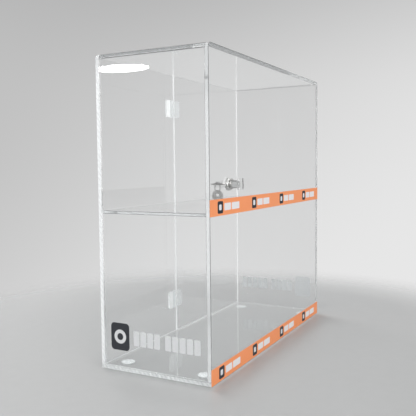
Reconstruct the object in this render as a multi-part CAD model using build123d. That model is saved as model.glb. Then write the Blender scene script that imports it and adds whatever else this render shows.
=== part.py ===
from build123d import *
import math
import os

# A lockable display case of clear acrylic sheet with a middle shelf, a hinged back door and a cam lock.
# Lengths are millimetres. X runs to the right seen from the front, Y to the back, Z up.
# Z is 0 under the feet. X and Y are 0 in the middle of the whole object's footprint, hanging key included.

# Case
case_width = 400.0
case_depth = 160.0
case_height = 400.0
sheet = 5.0
bend_inner_radius = 1.5
shelf_height = 200.0
shelf_thickness = 4.0
shelf_back_gap = 0.5
fixed_panel_width = 184.0
door_seam_gap = 0.5
door_sill_gap = 0.8

# Bands of coloured film across the front
band_height = 20.0
band_thickness = 0.3

# Feet
foot_diameter = 18.0
foot_sole_diameter = 17.2
foot_height = 2.0
foot_from_side = 28.0
foot_from_front = 23.0

# Hinges
hinge_height = 25.4
hinge_from_end = 54.0
hinge_reach = 18.0
hinge_leaf_thickness = 2.6
hinge_corner_radius = 2.0
knuckle_radius = 3.5
knuckle_count = 3
knuckle_end_gap = 0.15
knuckle_side_gap = 0.4
hinge_pin_radius = 1.5
hinge_pin_chamfer = 0.3
hinge_running_gap = 0.05

# Lock body and nut
lock_above_shelf = 26.0
lock_from_side = 34.0
lock_head_radius = 11.5
lock_head_thickness = 2.5
lock_head_edge = 0.8
barrel_radius = 8.0
barrel_across_flats = 14.0
barrel_inside = 15.0
barrel_hole_gap = 0.1
channel_reach = 6.9
channel_gap = 0.2
channel_lead = 0.3
stop_inner_radius = 6.4
stop_length = 1.5
nut_across_flats = 22.0
nut_thickness = 3.0
nut_chamfer = 0.9

# Plug and its wafer tumblers
plug_radius = 6.0
collar_radius = 7.2
collar_depth = 1.4
lock_running_gap = 0.05
boss_width = 7.0
wafer_count = 5
wafer_thickness = 0.9
wafer_pitch = 2.4
wafer_first = 2.6
wafer_height = 5.0
wafer_gap = 0.1
ear_start = 1.0
ear_width = 1.0
ear_height = 2.4
ear_travel = 1.0

# Springs that press the wafers' ears
spring_turns = 4
spring_sides = 8
spring_radius = 0.5
spring_wire = 0.25
spring_start = -2.4
spring_hole_width = 1.6
spring_end_gap = 0.05

# Cam and its screw
cam_thickness = 2.0
cam_hub_radius = 6.3
cam_reach = 24.0
cam_arm_width = 10.0
cam_corner_radius = 2.0
screw_head_radius = 3.8
screw_head_height = 2.2
screw_radius = 1.6
screw_length = 3.5
screw_slot_width = 0.9
screw_slot_depth = 0.9

# Keeper that the cam turns behind
keeper_width = 12.0
keeper_length = 20.0
keeper_nut_gap = 3.0
keeper_cam_gap = 0.5
keeper_corner_radius = 1.5

# Keys
key_bow_radius = 11.0
key_bow_thickness = 2.5
key_edge = 0.5
key_neck_length = 10.0
key_neck_width = 8.5
key_hole_radius = 3.5
key_hole_offset = 2.5
key_blade_width = 7.0
key_blade_thickness = 1.8
key_blade_length = 15.0
key_tip_chamfer = 2.4
key_groove_width = 1.6
key_groove_depth = 0.4
key_way_gap = 0.15
key_shoulder_gap = 0.2
key_cut_bottom = 0.6
key_cut_depths = (0.5, 1.2, 0.8, 1.4, 0.6)

# Key ring
ring_inner_radius = 9.5
ring_wire = 1.6
ring_width = 1.8
ring_groove_width = 0.16
ring_groove_depth = 0.5
ring_hang_gap = 0.45

# Places that follow from the sizes
bend_outer_radius = bend_inner_radius + sheet
key_reach = lock_head_thickness + key_shoulder_gap + key_neck_length + key_bow_radius
hanging_reach = key_reach + key_hole_offset + key_bow_radius
overall_depth = band_thickness + case_depth + hanging_reach
x_left = -case_width / 2
x_right = case_width / 2
y_front = -overall_depth / 2 + band_thickness
y_back = y_front + case_depth
y_front_inner = y_front + sheet
y_back_inner = y_back - sheet
z_base_top = foot_height + sheet
z_top = foot_height + case_height
z_shelf = foot_height + shelf_height
x_seam = x_left + fixed_panel_width
y_hinge = y_back + knuckle_radius + knuckle_side_gap / 2
x_lock = x_right - lock_from_side
z_lock = z_shelf + lock_above_shelf
y_head = y_back + lock_head_thickness
y_barrel_end = y_back_inner - barrel_inside
y_cam = y_barrel_end - cam_thickness


def upright(y):
    """A plane facing the front at depth y, in the case's own x and z."""
    return Plane(origin=(0, y, 0), x_dir=(1, 0, 0), z_dir=(0, -1, 0))


def lock_plane(y):
    """A plane facing the front at depth y, centred on the lock's axis."""
    return Plane(origin=(x_lock, y, z_lock), x_dir=(1, 0, 0), z_dir=(0, -1, 0))


def to_back(plane, face, depth):
    """A face drawn on a plane, extruded towards the back."""
    return extrude(plane * face, amount=depth, dir=(0, 1, 0))


def block(x0, x1, y0, y1, z0, z1):
    """A box between two places on each axis."""
    centre = ((x0 + x1) / 2, (y0 + y1) / 2, (z0 + z1) / 2)
    return Pos(*centre) * Box(x1 - x0, y1 - y0, z1 - z0)


def arch(width, bottom, top, radius):
    """A flat rectangle whose two upper corners are rounded."""
    face = Pos(0, (bottom + top) / 2) * Rectangle(width, top - bottom)
    return fillet(face.vertices().group_by(Axis.Y)[-1], radius)


def flatted(radius, across_flats):
    """A circle with flats above and below, the section that keeps a cam lock from turning in its hole."""
    return Circle(radius) & Rectangle(3 * radius, across_flats)


# Clear sheets
def make_base_plate():
    return block(x_left, x_right, y_front, y_back, foot_height, z_base_top)


def make_bent_shell():
    """Left side, top and right side, line-bent from one sheet."""
    outer = arch(case_width, z_base_top, z_top, bend_outer_radius)
    inner = arch(case_width - 2 * sheet, z_base_top, z_top - sheet, bend_inner_radius)
    return to_back(upright(y_front_inner), outer - inner, y_back_inner - y_front_inner)


def make_full_panel(y):
    """A sheet over the shell's edges, with the shell's rounded outline."""
    return to_back(upright(y), arch(case_width, z_base_top, z_top, bend_outer_radius), sheet)


def make_fixed_back_panel():
    kept = block(x_left, x_seam - door_seam_gap / 2, y_back_inner, y_back, z_base_top, z_top)
    return make_full_panel(y_back_inner) & kept


def make_door_panel():
    """The right part of the back, drilled with two flats for the lock's barrel."""
    kept = block(x_seam + door_seam_gap / 2, x_right, y_back_inner, y_back, z_base_top + door_sill_gap, z_top)
    hole = flatted(barrel_radius + barrel_hole_gap, barrel_across_flats + 2 * barrel_hole_gap)
    return (make_full_panel(y_back_inner) & kept) - to_back(lock_plane(y_back_inner), hole, sheet)


def make_shelf():
    y_end = y_back_inner - shelf_back_gap
    return block(x_left + sheet, x_right - sheet, y_front_inner, y_end, z_shelf, z_shelf + shelf_thickness)


def make_band(z):
    return block(x_left, x_right, y_front - band_thickness, y_front, z, z + band_height)


def make_keeper():
    """A block bonded to the right side, between the nut and the cam, with its free corners rounded."""
    x_wall = x_right - sheet
    y_near_door = y_back_inner - nut_thickness - keeper_nut_gap
    y_near_cam = y_barrel_end + keeper_cam_gap
    z_low = z_lock - keeper_length / 2
    keeper = block(x_wall - keeper_width, x_wall, y_near_cam, y_near_door, z_low, z_low + keeper_length)
    free_edges = keeper.edges().filter_by(Axis.Y).group_by(Axis.X)[0]
    return fillet(free_edges, keeper_corner_radius)


def make_foot(side, end):
    """A round stick-on foot, narrower where it meets the table."""
    x = side * (case_width / 2 - foot_from_side)
    y = (y_front + y_back) / 2 + end * (case_depth / 2 - foot_from_front)
    return Pos(x, y, foot_height / 2) * Cone(foot_sole_diameter / 2, foot_diameter / 2, foot_height)


# Hinges
def make_leaf(z, side, first_knuckle):
    """One glued leaf with its own knuckles; side is 1 for the door's leaf and -1 for the fixed panel's."""
    low = z - hinge_height / 2
    pitch = hinge_height / knuckle_count
    y_plate = y_back + hinge_leaf_thickness
    plate = block(knuckle_end_gap, hinge_reach, y_back, y_plate, low, low + hinge_height)
    plate = fillet(plate.edges().filter_by(Axis.Y).group_by(Axis.X)[-1], hinge_corner_radius)
    leaf = plate + Pos(0, y_hinge, z) * Cylinder(knuckle_radius, hinge_height)
    running_gap = 0.0 if side < 0 else hinge_running_gap
    leaf -= Pos(0, y_hinge, z) * Cylinder(hinge_pin_radius + running_gap, hinge_height)
    for index in range(knuckle_count):
        if index % 2 != first_knuckle:
            centre = low + (index + 0.5) * pitch
            room = Cylinder(knuckle_radius + knuckle_side_gap, pitch + 2 * knuckle_end_gap)
            leaf -= Pos(0, y_hinge, centre) * room
    if side < 0:
        leaf = mirror(leaf, about=Plane.YZ)
    return Pos(x_seam, 0, 0) * leaf


def make_hinge_pin(z):
    pin = Cylinder(hinge_pin_radius, hinge_height)
    return Pos(x_seam, y_hinge, z) * chamfer(pin.edges().filter_by(GeomType.CIRCLE), hinge_pin_chamfer)


# Cam lock
def make_lock_body():
    """A round head outside the door and a barrel with two flats through it.

    The bore takes the plug, and two channels beside it let the wafers spring out. A lug on the inner end
    stops the cam at both ends of its half turn.
    """
    head = to_back(lock_plane(y_back), Circle(lock_head_radius), lock_head_thickness)
    head = chamfer(head.edges().group_by(Axis.Y)[-1], lock_head_edge)
    section = flatted(barrel_radius, barrel_across_flats)
    barrel = to_back(lock_plane(y_barrel_end), section, sheet + barrel_inside)
    bore = to_back(lock_plane(y_barrel_end), Circle(plug_radius + lock_running_gap), y_head - y_barrel_end)
    collar_seat = Circle(collar_radius + lock_running_gap)
    seat = to_back(lock_plane(y_head - collar_depth), collar_seat, collar_depth)
    channel_length = y_head - wafer_first + wafer_thickness / 2 + channel_lead - y_barrel_end
    channels = Rectangle(2 * channel_reach, wafer_height + 2 * channel_gap)
    lug_top = -cam_arm_width / 2 - lock_running_gap
    below_cam = Pos(0, lug_top - barrel_radius) * Rectangle(2 * barrel_radius, 2 * barrel_radius)
    lug_section = (section - Circle(stop_inner_radius)) & below_cam
    lug = to_back(lock_plane(y_barrel_end - stop_length), lug_section, stop_length)
    return head + barrel + lug - bore - seat - to_back(lock_plane(y_barrel_end), channels, channel_length)


def make_lock_nut():
    """A hexagon nut inside the door, its corners bevelled on the free side."""
    corner_radius = nut_across_flats / 2 / math.cos(math.pi / 6)
    y_free = y_back_inner - nut_thickness
    hexagon = to_back(lock_plane(y_free), RegularPolygon(corner_radius, 6), nut_thickness)
    disc = to_back(lock_plane(y_free), Circle(corner_radius), nut_thickness)
    bevelled = hexagon & chamfer(disc.edges().group_by(Axis.Y)[0], nut_chamfer)
    return bevelled - to_back(lock_plane(y_free), Circle(barrel_radius + barrel_hole_gap), nut_thickness)


def wafer_depths():
    """Each wafer's middle, counted along the blade from the lock's face."""
    return [wafer_first + index * wafer_pitch for index in range(wafer_count)]


def ear_face(travel, gap):
    """The tab above each wafer that its spring presses, or with a travel and a gap the room it moves in."""
    top = wafer_height / 2 + ear_height + gap
    middle = (ear_start + ear_width / 2, top / 2)
    return Pos(*middle) * Rectangle(ear_width + 2 * travel, top)


def spring_place(depth):
    """The start of a wafer's spring, on the spring's axis, which runs along the wafer's travel."""
    start = (x_lock + spring_start, y_head - depth, z_lock + wafer_height / 2 + ear_height / 2)
    return Location(Plane(origin=start, x_dir=(0, 1, 0), z_dir=(1, 0, 0)))


def make_lock_plug():
    """The part the key turns: collar, cylinder with keyway, slots and holes, and the cam's square end."""
    cylinder = to_back(lock_plane(y_barrel_end), Circle(plug_radius), y_head - y_barrel_end)
    collar = to_back(lock_plane(y_head - collar_depth), Circle(collar_radius), collar_depth)
    boss = to_back(lock_plane(y_cam), Rectangle(boss_width, boss_width), cam_thickness)
    plug = cylinder + collar + boss
    way_depth = key_blade_length + key_shoulder_gap
    way = Rectangle(key_blade_width + 2 * key_way_gap, key_blade_thickness + 2 * key_way_gap)
    plug -= to_back(lock_plane(y_head - way_depth), way, way_depth)
    slot = Rectangle(3 * plug_radius, wafer_height + 2 * wafer_gap)
    ear_room = ear_face(ear_travel, wafer_gap)
    hole_length = 2 * plug_radius
    for depth in wafer_depths():
        slot_depth = wafer_thickness + 2 * wafer_gap
        plug -= to_back(lock_plane(y_head - depth - slot_depth / 2), slot + ear_room, slot_depth)
        hole_middle = spring_place(depth) * Pos(0, 0, hole_length / 2)
        plug -= hole_middle * Box(spring_hole_width, spring_hole_width, hole_length)
    return plug - to_back(lock_plane(y_cam), Circle(screw_radius), screw_length)


def make_wafers():
    """Thin plates across the plug, each with a window for the blade and an ear for its spring."""
    window = Rectangle(key_blade_width + 2 * key_way_gap, key_blade_thickness + 2 * key_way_gap)
    outline = Circle(plug_radius - wafer_gap) & Rectangle(3 * plug_radius, wafer_height)
    wafer = outline + ear_face(0, 0) - window
    plates = [to_back(lock_plane(y_head - depth - wafer_thickness / 2), wafer, wafer_thickness)
              for depth in wafer_depths()]
    return Compound(children=plates)


def make_springs():
    """A small coil spring for each wafer, wound in short straights, between its hole's start and the ear."""
    length = ear_start - spring_start - 2 * spring_end_gap - spring_wire
    steps = spring_turns * spring_sides
    points = []
    for step in range(steps + 1):
        turn = step * 2 * math.pi / spring_sides
        points.append((spring_radius * math.cos(turn), spring_radius * math.sin(turn), step * length / steps))
    path = Polyline(*points)
    start = Plane(origin=path @ 0, z_dir=path % 0)
    coil = sweep(start * Rectangle(spring_wire, spring_wire), path, transition=Transition.RIGHT)
    lift = Pos(0, 0, spring_end_gap + spring_wire / 2)
    return Compound(children=[spring_place(depth) * lift * coil for depth in wafer_depths()])


def make_cam():
    """A stamped plate on the plug's square end; it points away from the side while the lock is open."""
    arm = Pos(-cam_reach / 2, 0) * Rectangle(cam_reach, cam_arm_width)
    arm = fillet(arm.vertices().group_by(Axis.X)[0], cam_corner_radius)
    square = Rectangle(boss_width + 2 * lock_running_gap, boss_width + 2 * lock_running_gap)
    return to_back(lock_plane(y_cam), Circle(cam_hub_radius) + arm - square, cam_thickness)


def make_cam_screw():
    y_low = y_cam - screw_head_height
    head = to_back(lock_plane(y_low), Circle(screw_head_radius), screw_head_height)
    shank = to_back(lock_plane(y_cam), Circle(screw_radius), screw_length)
    slot = to_back(lock_plane(y_low), Rectangle(3 * screw_head_radius, screw_slot_width), screw_slot_depth)
    return head + shank - slot


# Keys
def make_key(place):
    """A flat key, drawn with its shoulder at the origin, its bow towards +y and its blade towards -y."""
    bow_middle = key_neck_length + key_bow_radius
    bow = Pos(0, bow_middle) * Circle(key_bow_radius)
    neck = Pos(0, bow_middle / 2) * Rectangle(key_neck_width, bow_middle)
    hole = Pos(0, bow_middle + key_hole_offset) * Circle(key_hole_radius)
    handle = extrude(bow + neck - hole, amount=key_bow_thickness / 2, both=True)
    arcs = handle.edges().filter_by(GeomType.CIRCLE)
    handle = chamfer([edge for edge in arcs if edge.radius > key_hole_radius], key_edge)
    blade = Pos(0, -key_blade_length / 2) * Rectangle(key_blade_width, key_blade_length)
    blade = chamfer(blade.vertices().group_by(Axis.Y)[0], key_tip_chamfer)
    for depth, cut in zip(wafer_depths(), key_cut_depths):
        edge = key_blade_width / 2
        half_mouth = key_cut_bottom + cut
        y_cut = key_shoulder_gap - depth
        low_side = ((edge - cut, y_cut - key_cut_bottom), (edge, y_cut - half_mouth))
        high_side = ((edge, y_cut + half_mouth), (edge - cut, y_cut + key_cut_bottom))
        blade -= make_face(Polyline(*low_side, *high_side, close=True))
    blade = extrude(blade, amount=key_blade_thickness / 2, both=True)
    groove_z = key_blade_thickness / 2 - key_groove_depth / 2
    groove = Box(key_groove_width, key_blade_length, key_groove_depth)
    blade -= Pos(-key_groove_width / 2, -key_blade_length / 2, groove_z) * groove
    return place * (handle + blade)


def make_ring_place():
    """The ring's middle: it hangs round the bow's rim between the hole and the side edge."""
    rim_x = math.sqrt(key_bow_radius**2 - key_hole_offset**2)
    bridge = rim_x - key_hole_radius
    x = x_lock + key_hole_radius + bridge / 2
    y = y_back + key_reach + key_hole_offset
    drop = math.sqrt((ring_inner_radius - ring_hang_gap) ** 2 - (bridge / 2) ** 2)
    return x, y, z_lock + key_bow_thickness / 2 - drop


def make_key_ring():
    """Two flat turns of wire lying against each other, shown by the groove round the rim."""
    x, y, z = make_ring_place()
    wire = Rectangle(ring_wire, ring_width)
    wire -= Pos(ring_wire / 2, 0) * Rectangle(2 * ring_groove_depth, ring_groove_width)
    section = Pos(x + ring_inner_radius + ring_wire / 2, y, z) * wire
    return revolve(section, axis=Axis((x, y, z), (0, 1, 0)))


def make_spare_key_place():
    """The spare key hangs blade down from the lowest point of the ring, in the plane across it."""
    x, y, z = make_ring_place()
    hole_top = z - ring_inner_radius + ring_hang_gap
    shoulder_drop = key_neck_length + key_bow_radius + key_hole_offset + key_hole_radius
    return Plane(origin=(x, y, hole_top - shoulder_drop), x_dir=(0, 1, 0), z_dir=(1, 0, 0))


z_upper_hinge = z_top - hinge_from_end
z_lower_hinge = foot_height + hinge_from_end
key_place = Pos(x_lock, y_head + key_shoulder_gap, z_lock)

nodes = {
    "base_plate": make_base_plate(),
    "bent_shell": make_bent_shell(),
    "front_panel": make_full_panel(y_front),
    "fixed_back_panel": make_fixed_back_panel(),
    "door_panel": make_door_panel(),
    "shelf": make_shelf(),
    "upper_band": make_band(z_shelf),
    "lower_band": make_band(foot_height),
    "door_keeper": make_keeper(),
    "lock_body": make_lock_body(),
    "lock_nut": make_lock_nut(),
    "lock_plug": make_lock_plug(),
    "lock_wafers": make_wafers(),
    "wafer_springs": make_springs(),
    "lock_cam": make_cam(),
    "cam_screw": make_cam_screw(),
    "key": make_key(key_place),
    "key_ring": make_key_ring(),
    "spare_key": make_key(Location(make_spare_key_place())),
}
for end_name, end in (("front", -1), ("back", 1)):
    for side_name, side in (("left", -1), ("right", 1)):
        nodes[f"foot_{end_name}_{side_name}"] = make_foot(side, end)
for hinge_name, z_hinge in (("upper", z_upper_hinge), ("lower", z_lower_hinge)):
    nodes[f"{hinge_name}_hinge_frame_leaf"] = make_leaf(z_hinge, -1, 0)
    nodes[f"{hinge_name}_hinge_door_leaf"] = make_leaf(z_hinge, 1, 1)
    nodes[f"{hinge_name}_hinge_pin"] = make_hinge_pin(z_hinge)

os.makedirs("parts", exist_ok=True)
for name, solid in nodes.items():
    export_step(solid, f"parts/{name}.step")
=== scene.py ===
import math

import bmesh
import bpy
from mathutils import Matrix, Quaternion, Vector


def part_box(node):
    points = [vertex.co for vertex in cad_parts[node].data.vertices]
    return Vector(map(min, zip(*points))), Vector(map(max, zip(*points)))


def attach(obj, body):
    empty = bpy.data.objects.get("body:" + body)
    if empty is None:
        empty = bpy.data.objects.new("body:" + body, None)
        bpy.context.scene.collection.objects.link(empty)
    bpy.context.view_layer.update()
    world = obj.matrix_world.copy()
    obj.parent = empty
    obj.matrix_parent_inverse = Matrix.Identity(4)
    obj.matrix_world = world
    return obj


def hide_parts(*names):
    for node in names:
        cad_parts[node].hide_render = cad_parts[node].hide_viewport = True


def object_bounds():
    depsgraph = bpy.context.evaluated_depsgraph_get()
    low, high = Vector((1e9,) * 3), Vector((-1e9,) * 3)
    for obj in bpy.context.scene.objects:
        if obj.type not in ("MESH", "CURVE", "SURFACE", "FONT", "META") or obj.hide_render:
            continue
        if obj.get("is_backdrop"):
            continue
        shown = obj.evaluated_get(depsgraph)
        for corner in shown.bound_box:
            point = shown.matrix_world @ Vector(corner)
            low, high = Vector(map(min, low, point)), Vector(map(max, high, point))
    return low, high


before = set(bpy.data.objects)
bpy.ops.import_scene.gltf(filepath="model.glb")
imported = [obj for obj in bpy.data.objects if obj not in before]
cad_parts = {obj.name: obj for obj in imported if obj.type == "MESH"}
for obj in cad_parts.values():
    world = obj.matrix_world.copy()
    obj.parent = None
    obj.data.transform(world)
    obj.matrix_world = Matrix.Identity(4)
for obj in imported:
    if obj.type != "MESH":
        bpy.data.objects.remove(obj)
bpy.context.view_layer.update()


# The base and the shelf, the first of the clear sheets. Cast acrylic, 5 mm thick and the shelf 4, sawn to size, some
# edges polished, then joined face to edge with a thin solvent that leaves a grey line along the joint. The joints keep
# a film of air, so each sheet is a hair short.
class Wire:
    """A socket among the nodes, so that shader maths is written as an expression."""

    def __init__(self, patterns, socket):
        self.patterns = patterns
        self.socket = socket

    def maths(self, operation, *others):
        """The operation on this wire and then the others."""
        return self.patterns.read("ShaderNodeMath", {"operation": operation}, dict(enumerate((self, *others))))

    def __add__(self, other):
        return self.maths("ADD", other)

    def __sub__(self, other):
        return self.maths("SUBTRACT", other)

    def __rsub__(self, other):
        return self.maths("MULTIPLY_ADD", -1.0, other)

    def __mul__(self, other):
        return self.maths("MULTIPLY", other)

    def __lt__(self, other):
        return self.maths("LESS_THAN", other)

    def __gt__(self, other):
        return self.maths("GREATER_THAN", other)

    def __abs__(self):
        return self.maths("ABSOLUTE")

    __radd__ = __add__
    __rmul__ = __mul__


class Patterns:
    """The nodes of one finish, or of the studio's walls, and the patterns that they make of a place."""

    def __init__(self, tree, coordinates):
        self.tree = tree
        self.tree.nodes.clear()
        self.place = self.read("ShaderNodeTexCoord", {}, {}, coordinates)

    def plug(self, socket, value):
        """Feeds a socket from a wire, or gives it a value. A colour is given as three numbers."""
        if isinstance(value, Wire):
            self.tree.links.new(value.socket, socket)
        else:
            socket.default_value = (*value, 1.0) if socket.type == "RGBA" else value

    def node(self, kind, settings, sockets):
        """A new node: its settings first, then the value or the wire of each socket."""
        node = self.tree.nodes.new(kind)
        for name, value in settings.items():
            setattr(node, name, value)
        for key, value in sockets.items():
            self.plug(node.inputs[key], value)
        return node

    def wire(self, node, output=0):
        return Wire(self, node.outputs[output])

    def read(self, kind, settings, sockets, output=0):
        return self.wire(self.node(kind, settings, sockets), output)

    def along(self, axis):
        """How far along X, Y or Z the place is."""
        return self.read("ShaderNodeSeparateXYZ", {}, {0: self.place}, axis)

    def stretched(self, scale, turn=(0.0, 0.0, 0.0)):
        """The place, scaled along its axes, for patterns that run one way."""
        return self.read("ShaderNodeMapping", {}, {"Vector": self.place, "Scale": scale, "Rotation": turn})

    def noise(self, scale, detail=3.0, place=None, distortion=0.0):
        sockets = {"Vector": place or self.place, "Scale": scale, "Detail": detail, "Distortion": distortion}
        return self.read("ShaderNodeTexNoise", {}, sockets)

    def graded(self, value, low, high, to_low=0.0, to_high=1.0, kind="LINEAR"):
        sockets = {"Value": value, "From Min": low, "From Max": high, "To Min": to_low, "To Max": to_high}
        return self.read("ShaderNodeMapRange", {"interpolation_type": kind}, sockets)

    def blend(self, share, first, second):
        """A colour that runs from the first to the second, by share."""
        node = self.node("ShaderNodeMix", {"data_type": "RGBA"}, {0: share, 6: first, 7: second})
        return self.wire(node, 2)


class Finish(Patterns):
    """A material built round one Principled shader."""

    def __init__(self, name, **sockets):
        self.material = bpy.data.materials.new(name)
        self.material.use_nodes = True
        super().__init__(self.material.node_tree, "Object")
        self.shader = self.node("ShaderNodeBsdfPrincipled", {}, {})
        self.set(**sockets)
        self.surface = self.wire(self.shader, "BSDF")
        self.output = self.node("ShaderNodeOutputMaterial", {}, {"Surface": self.surface})

    def set(self, **sockets):
        for name, value in sockets.items():
            self.plug(self.shader.inputs[name.replace("_", " ")], value)

    def relief(self, height, depth):
        """Lets a pattern raise and lower the surface by up to depth, in metres."""
        self.set(Normal=self.read("ShaderNodeBump", {}, {"Strength": 1.0, "Distance": depth, "Height": height}))

    def uneven(self, pattern, first, second, smooth, rough):
        """One pattern that runs from a smooth first colour to a rougher second one."""
        self.set(Base_Color=self.blend(pattern, first, second), Roughness=self.graded(pattern, 0.3, 0.7, smooth, rough))

    def mixed(self, share, kind, colour):
        """Lays a second shader over the surface, by share."""
        self.surface = self.read("ShaderNodeMixShader", {}, {
            0: share, 1: self.surface, 2: self.read(kind, {}, {"Color": colour})})
        self.plug(self.output.inputs["Surface"], self.surface)

    def let_lamps_through(self, tint):
        """Clear plastic lets lamplight and light from walls through to what is behind it."""
        path = self.node("ShaderNodeLightPath", {}, {})
        passing = self.wire(path, "Is Shadow Ray").maths("MAXIMUM", self.wire(path, "Is Diffuse Ray"))
        self.mixed(passing, "ShaderNodeBsdfTransparent", tint)


polished = Finish("acrylic_polished_face", IOR=1.49, Transmission_Weight=1.0)
haze = polished.noise(9.0, 4.0, distortion=0.6)
wiped = polished.noise(60.0, 3.0, polished.stretched((1.0, 1.0, 0.12), (0.5, 0.5, 0.0)))
polished.set(
    Roughness=polished.graded(haze * 0.6 + wiped * 0.4, 0.45, 0.75, 0.0, 0.05),
    Base_Color=polished.blend(haze, (1.0, 1.0, 1.0), (0.98, 0.985, 0.987)),
)
polished.relief(polished.noise(6.0, 1.0), 0.00002)
polished.let_lamps_through((0.97, 0.975, 0.975))

# The saw's marks run aslant. A sawn edge is darker along its foot, and greyer near the top, where the grey is painted
# shade.
sawn = Finish("acrylic_sawn_edge", IOR=1.49, Transmission_Weight=0.25)
aslant = (0.7, 0.0, 0.7)
saw_stroke = sawn.stretched((1.0, 1.0, 0.12), aslant)
saw_marks = sawn.noise(260.0, 3.0, saw_stroke)
flecks = sawn.noise(420.0, 3.0, saw_stroke)
hatch = sawn.read("ShaderNodeTexWave", {"wave_type": "BANDS", "bands_direction": "X"}, {
    "Vector": sawn.stretched((1.0, 1.0, 1.0), aslant), "Scale": 100.0, "Distortion": 2.5})
dull = sawn.graded(flecks * 0.6 + hatch * 0.4, 0.56, 0.70)
# Greyer and less translucent towards the top of the case: painted shade.
sawn_top_shade_painted = sawn.graded(sawn.along("Z"), 0.355, 0.395)
# Darker and duller along the foot of the case.
darker_at_foot = sawn.graded(sawn.along("Z"), 0.008, 0.016, 0.3, 0.0)
chalky = sawn.blend(darker_at_foot, (0.95, 0.96, 0.96), (0.60, 0.61, 0.61))
chalky = sawn.blend(dull * (0.6 + darker_at_foot), chalky, (0.50, 0.52, 0.52))
sawn.set(
    Roughness=sawn.graded(saw_marks * 0.5 + flecks * 0.5, 0.3, 0.7, 0.12, 0.35),
    Base_Color=sawn.blend(sawn_top_shade_painted * 0.8, chalky, (0.56, 0.57, 0.57)),
)
sawn.relief(saw_marks, 0.00002)
sawn.mixed(0.5 - sawn_top_shade_painted * 0.3, "ShaderNodeBsdfTranslucent", (0.98, 0.99, 0.99))
sawn.let_lamps_through((0.6, 0.61, 0.61))

milled = Finish("acrylic_milled_edge", IOR=1.49, Transmission_Weight=0.1)
cutter_marks = milled.noise(300.0, 3.0, milled.stretched((1.0, 1.0, 0.15)))
milled.uneven(cutter_marks, (0.99, 0.99, 0.99), (0.90, 0.91, 0.91), 0.2, 0.35)
milled.relief(cutter_marks, 0.00002)
milled.mixed(0.8, "ShaderNodeBsdfTranslucent", (0.99, 0.99, 0.99))
milled.let_lamps_through((0.93, 0.94, 0.94))

flamed = Finish("acrylic_flamed_edge", IOR=1.49, Transmission_Weight=0.7)
ripple = flamed.noise(200.0, 3.0, flamed.stretched((1.0, 1.0, 0.2)))
# Greyer towards the top of the case: painted shade.
flamed_top_shade_painted = flamed.graded(flamed.along("Z"), 0.34, 0.395)
clean = flamed.blend(ripple, (0.96, 0.97, 0.97), (0.86, 0.87, 0.87))
flamed.set(
    Roughness=flamed.graded(ripple, 0.3, 0.7, 0.02, 0.12),
    Base_Color=flamed.blend(flamed_top_shade_painted, clean, (0.70, 0.71, 0.71)),
)
flamed.relief(ripple, 0.00002)
flamed.let_lamps_through((0.85, 0.86, 0.86))

# The grey of the solvent joints, which also stands as painted shade along the bent sheet's left bend.
joint_grey_and_bend_shade = Finish("acrylic_joint_grey_and_bend_shade", IOR=1.49, Transmission_Weight=0.7)
solvent = joint_grey_and_bend_shade.noise(180.0, 2.0)
joint_grey_and_bend_shade.uneven(solvent, (0.42, 0.43, 0.43), (0.34, 0.35, 0.35), 0.05, 0.12)
joint_grey_and_bend_shade.relief(solvent, 0.00001)
joint_grey_and_bend_shade.let_lamps_through((0.8, 0.81, 0.81))

joint_film = 0.00002
arris = 0.00035
shelf_arris = 0.0007
large_face = 0.0005


def face_between(low, high, y):
    """An upright rectangle facing the front, as one face."""
    mesh = bmesh.new()
    corners = [(low.x, low.z), (high.x, low.z), (high.x, high.z), (low.x, high.z)]
    mesh.faces.new([mesh.verts.new((x, y, z)) for x, z in corners])
    return mesh


def block_between(low, high):
    mesh = bmesh.new()
    bmesh.ops.create_cube(mesh, size=1.0)
    bmesh.ops.scale(mesh, vec=high - low, verts=mesh.verts)
    bmesh.ops.translate(mesh, vec=(low + high) / 2, verts=mesh.verts)
    return mesh


def rounded(mesh, chosen, kind, radius, segments, clamped=False):
    """Rounds the chosen corners, the VERTICES of a flat mesh, or the chosen EDGES."""
    bmesh.ops.bevel(mesh, geom=chosen, affect=kind, offset=radius, offset_type="OFFSET", segments=segments,
                    profile=0.5, material=-1, clamp_overlap=clamped)


def break_edges(mesh, width, angle=40):
    """Rounds the edges that are sharper than angle, as a file or a flame does."""
    sharp = [edge for edge in mesh.edges if edge.is_manifold and edge.calc_face_angle(0.0) > math.radians(angle)]
    rounded(mesh, sharp, "EDGES", width, 2, clamped=True)


def moved_on(mesh, grown, way):
    """Moves what an extrusion has grown, and turns the faces outwards."""
    new_verts = [part for part in grown["geom"] if isinstance(part, bmesh.types.BMVert)]
    bmesh.ops.translate(mesh, vec=way, verts=new_verts)
    bmesh.ops.recalc_face_normals(mesh, faces=mesh.faces)


def thicken(mesh, way):
    """Extrudes every face of a flat mesh along way, and closes it to a solid."""
    moved_on(mesh, bmesh.ops.extrude_face_region(mesh, geom=mesh.faces[:], use_keep_orig=True), way)


def made(name, mesh):
    """The mesh as an object of the scene."""
    data = bpy.data.meshes.new(name)
    mesh.to_mesh(data)
    mesh.free()
    item = bpy.data.objects.new(name, data)
    bpy.context.scene.collection.objects.link(item)
    return item


def finished(name, mesh, body, finishes, nodes=(), crease=35, edge_of=lambda face: 0):
    """Makes the piece and rides it on its body: smooth between creases, but for its large faces, which stay flat. Each
    face takes the finish that edge_of counts."""
    for face in mesh.faces:
        face.smooth = face.calc_area() < large_face
        face.material_index = int(edge_of(face))
    for edge in mesh.edges:
        edge.smooth = not (edge.is_manifold and edge.calc_face_angle(0.0) > math.radians(crease))
    piece = made(name, mesh)
    for finish in finishes:
        piece.data.materials.append(finish.material)
    piece.modifiers.new("true_flats", "WEIGHTED_NORMAL").keep_sharp = True
    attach(piece, body)
    if nodes:
        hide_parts(*nodes)


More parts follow.
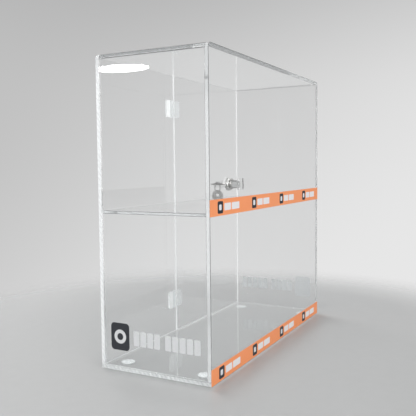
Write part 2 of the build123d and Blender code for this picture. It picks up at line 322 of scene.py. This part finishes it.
def room_of(node):
    """A node's box, less the film of air in its joints."""
    low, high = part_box(node)
    film = Vector((joint_film,) * 3)
    return low + film, high - film


def sawn_round(face):
    """1 on the base plate's narrow edge faces, which are left as sawn."""
    return abs(face.normal.z) < 0.5


def seam_lines(face):
    """1 on the shelf's edges, 2 on their rounds, where the solvent runs out in a line above and below the joint."""
    return 0 if abs(face.normal.z) > 0.98 else 1 + (abs(face.normal.z) > 0.2)


for sheet_name, edge_width, finishes, edge_kind in (("base_plate", arris, [polished, sawn], sawn_round),
                                                    ("shelf", shelf_arris, [polished, flamed, joint_grey_and_bend_shade], seam_lines)):
    low, high = room_of(sheet_name)
    sheet = block_between(low, high)
    break_edges(sheet, edge_width)
    finished(sheet_name + "_sheet", sheet, "case", finishes, [sheet_name], edge_of=edge_kind)


# The front and the fixed half of the back. Flat sheets bonded over the edges of the bent one, with its rounded corners,
# so that their own edges, flamed in front and sawn or milled behind, show as bright strips at the sides.
corner_radius = 0.0065


def rough_sides(face):
    """1 on an upright sheet's lower edge and left side, 2 on its right side. Its top edge is polished."""
    return 0 if abs(face.normal.y) > 0.5 or face.normal.z > 0.5 else 1 + (face.normal.x > 0.5)


def upright_sheet(node, rounded_sides):
    """A sheet's front face with its rounded top corners, and its thickness. False stands for left, True for right."""
    low, high = room_of(node)
    sheet = face_between(low, high, low.y)
    top = [v for v in sheet.verts if v.co.z > (low.z + high.z) / 2]
    chosen = [v for v in top if (v.co.x > (low.x + high.x) / 2) in rounded_sides]
    rounded(sheet, chosen, "VERTICES", corner_radius, 10)
    return sheet, high.y - low.y


for node, rounded_sides, left_edge, right_edge in (("front_panel", (False, True), flamed, flamed),
                                                   ("fixed_back_panel", (False,), sawn, milled)):
    sheet, thickness = upright_sheet(node, rounded_sides)
    thicken(sheet, (0.0, thickness, 0.0))
    break_edges(sheet, arris)
    finished(node + "_sheet", sheet, "case", [polished, left_edge, right_edge], [node],
             edge_of=rough_sides)


# The bent sheet. One strip makes the left side, the top and the right side: it is heated along two lines and folded
# over a bar, which leaves a tight bend inside and a wide one outside.
sheet_thickness = 0.005
door_side = 0.19
above_feet = 0.02
low, high = room_of("bent_shell")
bent = bmesh.new()
stops = [bent.verts.new((x, low.y, z)) for x, z in
         ((low.x, low.z), (low.x, high.z), (high.x, high.z), (high.x, low.z))]
for pair in zip(stops, stops[1:]):
    bent.edges.new(pair)
rounded(bent, stops[1:3], "VERTICES", corner_radius, 12)
moved_on(bent, bmesh.ops.extrude_edge_only(bent, edges=bent.edges[:]), (0.0, high.y - low.y, 0.0))
if max(bent.faces, key=lambda face: face.calc_center_median().z).normal.z < 0:
    bmesh.ops.reverse_faces(bent, faces=bent.faces)
bmesh.ops.solidify(bent, geom=bent.faces[:], thickness=sheet_thickness)
bmesh.ops.recalc_face_normals(bent, faces=bent.faces)
break_edges(bent, arris, 60)


def bent_edges(face):
    """1 sawn: its feet; 2 joint grey: its front edge, where it is joined, and its left bend, where the grey is painted
    shade; 3 milled: the right of its back edge, where the door closes on it; 4 flamed: the rest of its back edge."""
    middle = face.calc_center_median()
    # The outer face of the left bend takes the joint grey as painted shade.
    if face.normal.y < -0.5 or (face.normal.x < -0.2 and face.normal.z > 0.2):
        return 2
    if face.normal.y > 0.5:
        return 3 if middle.x > door_side else 4
    return face.normal.z < -0.5 and middle.z < above_feet


finished("bent_sheet", bent, "case", [polished, sawn, joint_grey_and_bend_shade, milled, flamed], ["bent_shell"],
         edge_of=bent_edges)


# The door. It closes over the bent sheet's edge like the fixed half, but nothing joins it there. A hole with two flats
# near its free side takes the lock.
lock_middle = sum(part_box("lock_body"), Vector((0.0, 0.0, 0.0))) / 2
hole_radius = 0.0081
hole_flat = 0.0071

door, thickness = upright_sheet("door_panel", (True,))
bmesh.ops.delete(door, geom=door.faces[:], context="FACES_ONLY")
hole_middle = Matrix.Translation((lock_middle.x, room_of("door_panel")[0].y, lock_middle.z))
hole = bmesh.ops.create_circle(door, cap_ends=False, radius=hole_radius, segments=64,
                               matrix=hole_middle @ Matrix.Rotation(math.pi / 2, 4, "X"))
for vert in hole["verts"]:
    vert.co.z = lock_middle.z + max(-hole_flat, min(hole_flat, vert.co.z - lock_middle.z))
bmesh.ops.triangle_fill(door, edges=door.edges[:], use_beauty=True, normal=(0.0, -1.0, 0.0))
thicken(door, (0.0, thickness, 0.0))
break_edges(door, arris)
finished("door_sheet", door, "door", [polished, milled, milled], ["door_panel"], edge_of=rough_sides)


# The keeper. A small clear block, solvent-bonded to the right side, that the lock's cam turns behind. Its two free
# edges are rounded.
keeper_round = 0.0015
low, high = room_of("door_keeper")
keeper = block_between(low, high)
free = [edge for edge in keeper.edges if all(v.co.x < (low.x + high.x) / 2 for v in edge.verts)
        and abs((edge.verts[0].co - edge.verts[1].co).normalized().y) > 0.9]
rounded(keeper, free, "EDGES", keeper_round, 6)
break_edges(keeper, 0.0002)
finished("keeper_block", keeper, "case", [polished], ["door_keeper"])


# The two bands. Strips of satin orange film with a grey back, pressed on across the front, flush with the shelf and
# with the base, and printed with a dark tile and two pale dashes that repeat along them.
band = Finish("band_film_orange", Specular_IOR_Level=0.4)
first_tile = -0.1805
print_repeat = 0.1003
shelf_level, base_level = (sum(end.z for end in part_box(node)) / 2 for node in ("upper_band", "lower_band"))
band_height = band.along("Z")
rise = abs(band_height - base_level).maths("MINIMUM", abs(band_height - shelf_level))
repeat = (band.along("X") - first_tile).maths("FLOORED_MODULO", print_repeat)


def bar(start, end, half_height, corner):
    """A mask over a rounded bar, from start to end along each repeat."""
    reach = (abs(repeat - (start + end) / 2) - ((end - start) / 2 - corner)).maths("MAXIMUM", 0.0)
    lift = (rise - (half_height - corner)).maths("MAXIMUM", 0.0)
    return (reach * reach + lift * lift).maths("SQRT") < corner


peel = band.noise(900.0, 2.0)
fade = band.noise(14.0, 3.0)
tile = bar(start=0.0, end=0.0145, half_height=0.0074, corner=0.0025)
window = bar(start=0.0040, end=0.0105, half_height=0.0034, corner=0.0015)
first_dash = bar(start=0.0180, end=0.0360, half_height=0.0044, corner=0.0012)
second_dash = bar(start=0.0385, end=0.0605, half_height=0.0044, corner=0.0012)
printed = band.blend(fade * 0.35, (1.0, 0.345, 0.135), (0.93, 0.30, 0.115))
for mask, ink in ((first_dash.maths("MAXIMUM", second_dash), (0.86, 0.84, 0.84)), (tile, (0.018, 0.022, 0.032)),
                  (window, (0.80, 0.82, 0.84))):
    printed = band.blend(mask, printed, ink)
band.set(Base_Color=printed, Roughness=band.graded(peel * 0.5 + fade * 0.5, 0.35, 0.65, 0.34, 0.48))
band.relief(peel, 0.00001)


def plain_film(name, roughness, first, second):
    """A film of one colour, a little mottled."""
    film = Finish(name, Roughness=roughness)
    film.set(Base_Color=film.blend(film.noise(300.0), first, second))
    film.relief(film.noise(900.0), 0.00001)
    return film


backing = plain_film("band_film_backing", 0.5, (0.30, 0.295, 0.29), (0.25, 0.245, 0.24))
band_corner = 0.0006
band_arris = 0.00008

for node in ("upper_band", "lower_band"):
    low, high = room_of(node)
    film = face_between(low, high, high.y)
    rounded(film, film.verts[:], "VERTICES", band_corner, 4)
    thicken(film, (0.0, low.y - high.y, 0.0))
    break_edges(film, band_arris)
    finished(node + "_film", film, "case", [band, backing], [node],
             edge_of=lambda face: face.normal.y > 0.5)


# The marks low on both sides. Thin cut film, pressed on outside: a dark rounded tile with a pale ring and a pale
# back, and two rows of pale blocks. Seen from outside, either side starts with the tile.
dark_film = plain_film("side_film_dark", 0.35, (0.016, 0.018, 0.024), (0.03, 0.033, 0.04))
pale_film = plain_film("side_film_pale", 0.42, (0.68, 0.685, 0.69), (0.60, 0.605, 0.61))
front_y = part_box("front_panel")[0].y
side_x = abs(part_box("bent_shell")[0].x)
film_gap = 0.00001
film_thickness = 0.00006
marks_length = 0.159
tile_span = (0.116, 0.144)
tile_heights = (0.029, 0.064)
tile_corner = 0.005
block_rows = ((0.0705, 4), (0.014, 5))
block_heights = (0.037, 0.056)
block_pitch = 0.0102
block_width = 0.0084
block_corner = 0.0015
ring_middle = (0.130, 0.0465)
ring_radii = (0.009, 0.0045)


def depth_of(place, side):
    """Where a place along the marks lies, counted from the front on the left side, and to the front on the right."""
    return front_y + (marks_length - place if side > 0 else place)


def flat_patch(mesh, x, side, span, heights, radius):
    """A rounded patch on an upright side, between two places along the marks."""
    y0, y1 = (depth_of(place, side) for place in span)
    z0, z1 = heights
    corners = [mesh.verts.new((x, y, z)) for y, z in ((y0, z0), (y1, z0), (y1, z1), (y0, z1))]
    mesh.faces.new(corners)
    rounded(mesh, corners, "VERTICES", radius, 8)


for side_name, side in (("left", -1.0), ("right", 1.0)):
    x = side * (side_x + film_gap)
    tile_mesh = bmesh.new()
    flat_patch(tile_mesh, x, side, tile_span, tile_heights, tile_corner)
    thicken(tile_mesh, (side * film_thickness, 0.0, 0.0))
    finished(side_name + "_side_tile", tile_mesh, "case", [dark_film, pale_film],
             edge_of=lambda face: face.normal.x * side < -0.5)
    pale_mesh = bmesh.new()
    for start, count in block_rows:
        for first in (start + place * block_pitch for place in range(count)):
            flat_patch(pale_mesh, x, side, (first, first + block_width), block_heights, block_corner)
    hub = Vector((x + side * film_thickness, depth_of(ring_middle[0], side), ring_middle[1]))
    spoke = [pale_mesh.verts.new(hub + Vector((0.0, radius, 0.0))) for radius in ring_radii]
    bmesh.ops.spin(pale_mesh, geom=[*spoke, pale_mesh.edges.new(spoke)], cent=hub, axis=(1.0, 0.0, 0.0),
                   angle=math.tau, steps=48, use_merge=True)
    thicken(pale_mesh, (side * film_thickness, 0.0, 0.0))
    finished(side_name + "_side_blocks", pale_mesh, "case", [pale_film])


# The feet. Four clear gel bumpers, cast as drops with a flat, sticky back and pressed on under the base's corners,
# where they show through it as pale discs.
gel = Finish("foot_gel_clear", IOR=1.45, Transmission_Weight=0.25)
gel_cloud = gel.noise(240.0)
gel.uneven(gel_cloud, (0.93, 0.94, 0.94), (0.80, 0.82, 0.82), 0.18, 0.34)
gel.relief(gel_cloud, 0.00003)
gel.let_lamps_through((0.85, 0.86, 0.86))
foot_rim = 0.0004
foot_taper = 0.0005
foot_round = 0.0006

for node in ("foot_front_left", "foot_front_right", "foot_back_left", "foot_back_right"):
    low, high = room_of(node)
    centre = (low + high) / 2
    wide = (high.x - low.x) / 2
    narrow = wide - foot_taper
    foot = bmesh.new()
    outline = [(0.0, high.z), (wide, high.z), (wide, high.z - foot_rim), (narrow, low.z + foot_round),
               (narrow - foot_round, low.z), (0.0, low.z)]
    points = [foot.verts.new((centre.x + r, centre.y, z)) for r, z in outline]
    edges = [foot.edges.new(pair) for pair in zip(points, points[1:])]
    bmesh.ops.spin(foot, geom=points + edges, cent=(centre.x, centre.y, 0.0), axis=(0.0, 0.0, 1.0),
                   angle=math.tau, steps=48, use_merge=True)
    bmesh.ops.remove_doubles(foot, verts=foot.verts, dist=0.000001)
    bmesh.ops.recalc_face_normals(foot, faces=foot.faces)
    finished(node + "_bumper", foot, "case", [gel], [node], crease=50)


# The two hinges. Moulded clear acrylic butt hinges, solvent-bonded to the back, each with a ground pin through
# knuckles that take turns. The frame leaves' pads and the barrels are made milky white as painted highlights, the upper
# hinge's most, and the leaves' long edges take the white sawn finish as painted highlights too.
moulded = Finish("hinge_moulded_clear", IOR=1.49, Transmission_Weight=0.7)
flow = moulded.noise(120.0, 3.0, moulded.stretched((1.0, 1.0, 0.3)))
moulded.uneven(flow, (0.95, 0.96, 0.96), (0.86, 0.88, 0.88), 0.02, 0.10)
moulded.relief(flow, 0.00004)
pad_width = 0.0100
pad_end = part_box("upper_hinge_frame_leaf")[0].x + pad_width
pin_middle = sum(end.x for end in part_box("upper_hinge_pin")) / 2
barrel_radius = 0.0026
across = moulded.along("X")
pad = across < pad_end
barrel = abs(across - pin_middle) < barrel_radius
upper = moulded.along("Z") > shelf_level
# A white translucent share on the pads, the barrels and the upper hinge: painted highlight.
moulded.mixed(pad.maths("MAXIMUM", barrel) * (0.2 + upper * 0.5) + 0.08, "ShaderNodeBsdfTranslucent",
              (0.99, 0.99, 0.99))
moulded.let_lamps_through((0.9, 0.91, 0.91))
leaf_edge_area = 0.00003


def recut(node, width):
    """A copy of a CAD node's mesh, its triangles joined up and its sharp edges broken by width."""
    mesh = bmesh.new()
    mesh.from_mesh(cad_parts[node].data)
    bmesh.ops.remove_doubles(mesh, verts=mesh.verts, dist=0.000002)
    bmesh.ops.dissolve_limit(mesh, angle_limit=math.radians(0.5), verts=mesh.verts[:], edges=mesh.edges[:])
    if width:
        break_edges(mesh, width, 30)
    return mesh


for hinge in ("upper_hinge", "lower_hinge"):
    for part, body in (("frame_leaf", "case"), ("door_leaf", "door"), ("pin", "case")):
        node = f"{hinge}_{part}"
        # The leaves' long edges take the sawn finish, whose white is a painted highlight.
        finished(node + "_moulding", recut(node, 0.0002), body, [moulded, sawn], [node],
                 edge_of=lambda face: abs(face.normal.y) < 0.5 and face.calc_area() > leaf_edge_area)


# The cam lock. Die-cast and nickel-plated: a round head outside the door, a threaded barrel with two flats through it
# and a hexagon nut drawn up inside.
nickel = Finish("nickel_plate", Metallic=1.0)
grain = nickel.noise(700.0)
tarnish = nickel.noise(90.0, 4.0)
nickel.set(
    Base_Color=nickel.blend(nickel.graded(tarnish, 0.4, 0.7), (0.66, 0.655, 0.64), (0.40, 0.395, 0.385)),
    Roughness=nickel.graded(grain * 0.4 + tarnish * 0.6, 0.35, 0.65, 0.05, 0.14),
)
nickel.relief(grain, 0.000008)

thread_pitch = 0.001
threaded = Finish("nickel_thread", Metallic=1.0)
# The thread's roots are painted dark and its crests light: painted shade in grooves that are only a bump.
crests = (threaded.along("Y") * (math.tau / thread_pitch)).maths("SINE")
threaded.set(
    Base_Color=threaded.blend(threaded.graded(crests, -1.0, 1.0), (0.16, 0.155, 0.15), (0.56, 0.55, 0.53)),
    Roughness=threaded.graded(threaded.noise(240.0), 0.3, 0.7, 0.2, 0.36),
)
threaded.relief(crests * 0.5 + 0.5, 0.0002)

door_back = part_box("door_panel")[1].y
thread_root = 0.0077


def on_thread(face):
    """True on the barrel's round sides, which its two flats cut through."""
    middle = face.calc_center_median()
    return middle.y < door_back and (middle - lock_middle).xz.length > thread_root and abs(face.normal.y) < 0.5


finished("lock_body_casting", recut("lock_body", 0.0001), "door", [nickel, threaded], ["lock_body"],
         edge_of=on_thread)
finished("lock_nut_hexagon", recut("lock_nut", 0.0002), "door", [nickel], ["lock_nut"])
finished("lock_plug_turned", recut("lock_plug", 0.00006), "plug", [nickel], ["lock_plug"])


# The wafers, their springs, the cam and its screw. Stamped brass wafers sit across the plug, each pressed by a small
# steel spring, and the zinc-plated cam is held on the plug's square end by a slotted screw.
brass = Finish("wafer_brass_stamped", Metallic=1.0)
brass.uneven(brass.noise(400.0), (0.80, 0.60, 0.28), (0.62, 0.44, 0.20), 0.22, 0.4)
finished("lock_wafers_stamped", recut("lock_wafers", 0.0), "plug", [brass], ["lock_wafers"])

spring = Finish("spring_wire", Metallic=1.0)
spring.uneven(spring.noise(500.0), (0.68, 0.68, 0.68), (0.54, 0.54, 0.55), 0.15, 0.3)
finished("wafer_springs_coiled", recut("wafer_springs", 0.00003), "plug", [spring], ["wafer_springs"])

zinc = Finish("zinc_plate", Metallic=1.0)
rolled = zinc.noise(260.0, 4.0, zinc.stretched((0.25, 1.0, 1.0)))
zinc.set(
    Base_Color=zinc.blend(zinc.noise(120.0), (0.62, 0.62, 0.61), (0.48, 0.49, 0.50)),
    Roughness=zinc.graded(rolled, 0.3, 0.7, 0.26, 0.46),
)
zinc.relief(rolled, 0.00001)
finished("lock_cam_stamped", recut("lock_cam", 0.00015), "plug", [zinc], ["lock_cam"])
finished("cam_screw_turned", recut("cam_screw", 0.0001), "plug", [zinc], ["cam_screw"])


# The keys and their ring. Keys stamped from nickel silver, one in the lock and a spare on a split ring of spring wire
# that hangs in the first one's bow.
key_metal = Finish("key_nickel_silver", Metallic=1.0)
brushed = key_metal.noise(500.0, 4.0, key_metal.stretched((0.2, 0.2, 1.0)))
rubbed = key_metal.noise(110.0, 4.0)
key_metal.set(
    Base_Color=key_metal.blend(rubbed, (0.40, 0.395, 0.38), (0.27, 0.265, 0.255)),
    Roughness=key_metal.graded(brushed * 0.6 + rubbed * 0.4, 0.35, 0.65, 0.12, 0.26),
)
key_metal.relief(brushed, 0.00002)
bow_face = 0.00124
rim_width = 0.0014
panel_depth = 0.0003


def stamped_key(node, across_key, body):
    """A key whose bow has a sunk panel on both sides, inside a raised rim; across_key is the axis it is thin along."""
    mesh = recut(node, 0.0001)
    middle = sum(end[across_key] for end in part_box(node)) / 2
    for side in (-1.0, 1.0):
        panel = [face for face in mesh.faces if face.normal[across_key] * side > 0.99
                 and (face.calc_center_median()[across_key] - middle) * side > bow_face]
        bmesh.ops.inset_region(mesh, faces=panel, use_boundary=True, use_even_offset=True, thickness=rim_width,
                               depth=-panel_depth)
    finished(node + "_stamped", mesh, body, [key_metal], [node])


stamped_key("key", 2, "key_in_lock")
stamped_key("spare_key", 0, "spare")
finished("key_ring_split", recut("key_ring", 0.00007), "ring", [spring], ["key_ring"])


# The studio. A pale floor that runs off into a paler surround, darker overhead so that the clear edges show, and
# darker to the front as the sheets and the metal reflect it, so that they aren't veiled.
ground = bmesh.new()
bmesh.ops.create_circle(ground, cap_ends=True, radius=1.0, segments=96, matrix=Matrix.Translation((0.0, 0.0, -0.0001)))
floor = made("floor", ground)
floor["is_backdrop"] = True
paper = Finish("floor_paper", Roughness=0.4, Specular_IOR_Level=0.3)
paper.set(Base_Color=paper.blend(paper.noise(60.0), (0.35, 0.35, 0.347), (0.33, 0.33, 0.327)))
away = paper.read("ShaderNodeVectorMath", {"operation": "LENGTH"}, {0: paper.place}, "Value")
paper.mixed(paper.graded(away, 0.36, 0.64, kind="SMOOTHSTEP"), "ShaderNodeBsdfTransparent", (1.0, 1.0, 1.0))
floor.data.materials.append(paper.material)

world = bpy.data.worlds.new("studio")
world.use_nodes = True
bpy.context.scene.world = world
walls = Patterns(world.node_tree, "Generated")
slope = walls.read("ShaderNodeVectorMath", {"operation": "DOT_PRODUCT"},
                   {0: walls.place, 1: (0.78, -0.55, -1.0)}, "Value")
paler = walls.graded(slope, -0.05, 0.85, 0.53, 0.80, "SMOOTHSTEP")
overhead = walls.graded(walls.along("Z"), 0.10, 0.65, kind="SMOOTHSTEP")
in_front = walls.graded(walls.along("Y"), 0.1, -0.4, 0.0, 0.6, "SMOOTHSTEP")
ray = walls.node("ShaderNodeLightPath", {}, {})
reflected = walls.wire(ray, "Is Glossy Ray") * (1.0 - walls.wire(ray, "Is Transmission Ray"))
seen = walls.read("ShaderNodeBackground", {}, {
    "Color": walls.blend(overhead, paler, (0.26, 0.265, 0.27)), "Strength": 1.0 - in_front * reflected})
lighting = walls.read("ShaderNodeBackground", {}, {"Color": (0.95, 0.97, 1.0), "Strength": 0.6})
looked_at = walls.wire(ray, "Is Camera Ray")
for kind in ("Is Glossy Ray", "Is Transmission Ray"):
    looked_at = looked_at.maths("MAXIMUM", walls.wire(ray, kind))
walls.node("ShaderNodeOutputWorld", {}, {
    "Surface": walls.read("ShaderNodeMixShader", {}, {0: looked_at, 1: lighting, 2: seen})})


def softbox(name, place, aim, size, power, shape="RECTANGLE", roll=0.0, shows=True):
    """An area lamp turned to what it aims at. Unless it shows, it is neither reflected nor seen through the sheets."""
    lamp = bpy.data.lights.new(name, "AREA")
    lamp.shape = shape
    lamp.size, lamp.size_y = size
    lamp.energy = power
    box = bpy.data.objects.new(name, lamp)
    box.location = place
    box.rotation_mode = "QUATERNION"
    facing = (Vector(aim) - Vector(place)).to_track_quat("-Z", "Y")
    box.rotation_quaternion = facing @ Quaternion((0.0, 0.0, 1.0), roll)
    box.visible_glossy = shows
    box.visible_transmission = shows
    bpy.context.scene.collection.objects.link(box)


softbox("key_softbox", (-1.3, -1.9, 2.4), (0.0, 0.0, 0.15), (1.5, 1.5), 64.0)
softbox("fill_softbox", (1.3, 2.3, 1.9), (0.0, 0.0, 0.15), (1.6, 1.2), 60.0, shows=False)
softbox("rim_softbox", (0.75, 1.25, 0.55), (0.08, 0.06, 0.25), (0.5, 0.6), 9.0, shows=False)
softbox("side_softbox", (-2.4, 0.5, 1.9), (0.0, 0.0, 0.2), (1.2, 1.0), 30.0)
softbox("ceiling_lamp", (-2.72, 1.84, 0.875), (-0.2, 0.03, 0.38), (0.34, 0.05), 1.0, "ELLIPSE", 0.055)


# The camera, at the photograph's place: a little above the shelf, to the left of the front.
camera_data = bpy.data.cameras.new("camera")
camera_data.sensor_width = 36.0
camera_data.lens = 52.2
camera_data.clip_start = 0.01
camera_data.clip_end = 60.0
camera = bpy.data.objects.new("camera", camera_data)
right = Vector((0.46808768, -0.88362337, -0.01018168))
down = Vector((-0.06640874, -0.02368517, -0.99751135))
ahead = Vector((0.88118318, 0.46759892, -0.06976706))
camera_turn = Matrix((right, -down, -ahead)).transposed().to_4x4()
camera.matrix_world = Matrix.Translation((-0.8114, -0.42065, 0.2614)) @ camera_turn
bpy.context.scene.collection.objects.link(camera)
bpy.context.scene.camera = camera

scene = bpy.context.scene
scene.view_settings.view_transform = "Standard"
scene.cycles.max_bounces = 32
scene.cycles.transmission_bounces = 32
scene.cycles.glossy_bounces = 32
scene.cycles.transparent_max_bounces = 32
scene.cycles.caustics_reflective = False
scene.cycles.caustics_refractive = False

low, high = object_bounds()
